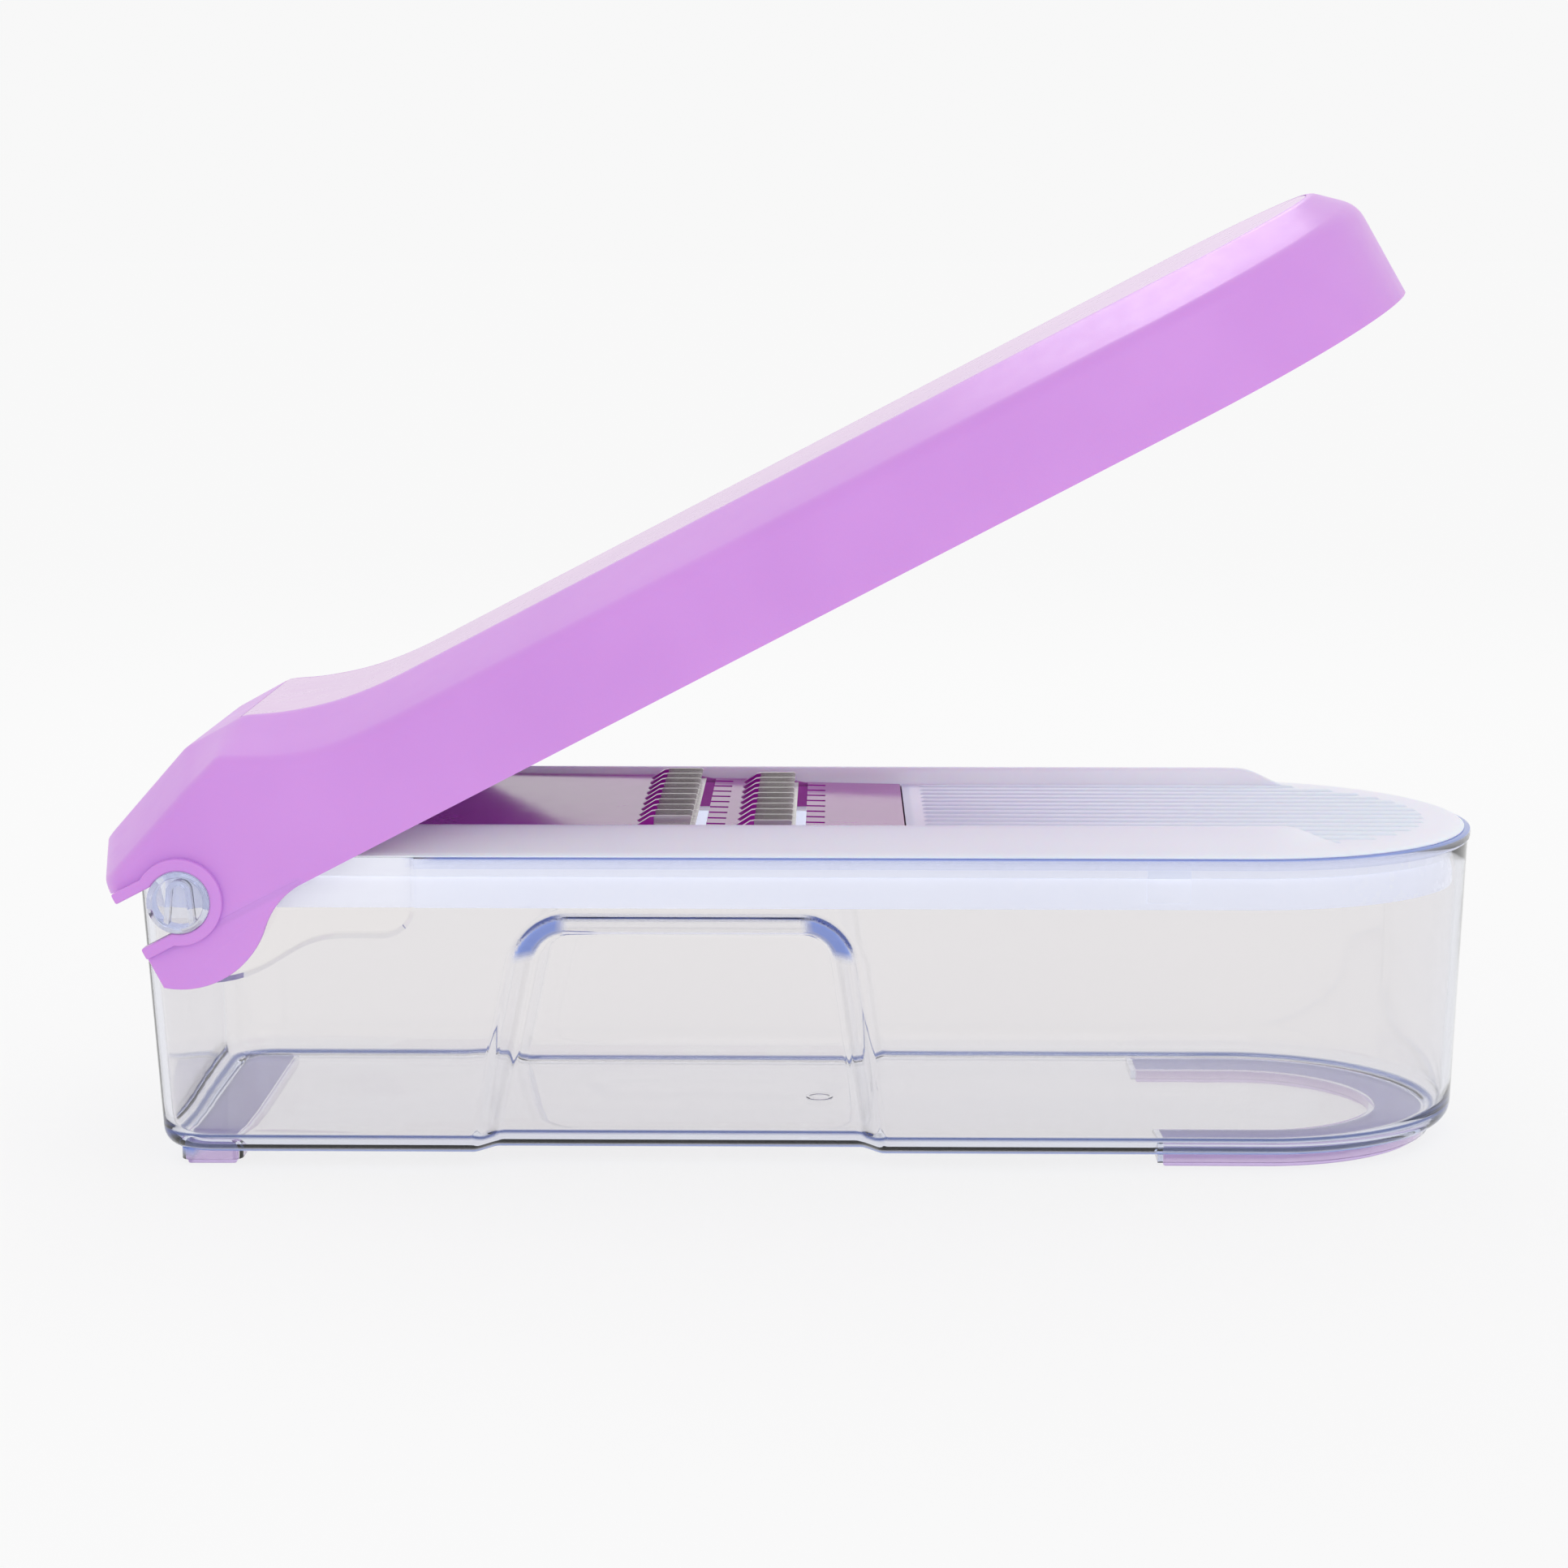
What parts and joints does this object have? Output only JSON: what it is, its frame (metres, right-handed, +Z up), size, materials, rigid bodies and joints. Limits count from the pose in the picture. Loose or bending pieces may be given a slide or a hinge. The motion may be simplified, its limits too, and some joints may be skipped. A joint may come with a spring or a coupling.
{
  "type": "mandoline slicer",
  "caption": "Kitchen mandoline with a clear catch container, ribbed slicing deck, comb blade insert and a hinged press lid held on clip-on arms.",
  "frame": {"origin": "centre of the bottom of the box around the part at rest, on the surface that the feet stand on", "axes": "+X along the length from the hinge to the round front end, +Y across to the far side, +Z up"},
  "size_m": [0.2876, 0.1108, 0.2001],
  "materials": {
    "clear_plastic": "clear moulded plastic with a faint blue-violet tint at its edges",
    "foot_rubber": "soft translucent purple",
    "deck_plastic": "satin white with a lavender cast",
    "insert_plastic": "polished purple",
    "blade_steel": "ground stainless steel",
    "lid_plastic": "satin lilac",
    "panel_plastic": "frosted translucent pink-grey"
  },
  "bodies": {
    "base": {"container": "clear_plastic", "rear_foot": "foot_rubber", "front_foot": "foot_rubber", "slicing_deck": "deck_plastic", "blade_insert": "insert_plastic", "rear_comb": "blade_steel", "front_comb": "blade_steel", "rear_blade": "blade_steel", "front_blade": "blade_steel"},
    "lid": {"lid_frame": "lid_plastic", "lid_panel": "panel_plastic", "press_grid": "panel_plastic"}
  },
  "joints": [
    {"name": "lid_hinge", "type": "hinge", "parent": "base", "child": "lid", "pos_m": [-0.12468, 0, 0.0583], "axis": [0, -1, 0], "range_deg": [-27.5, 38]}
  ]
}
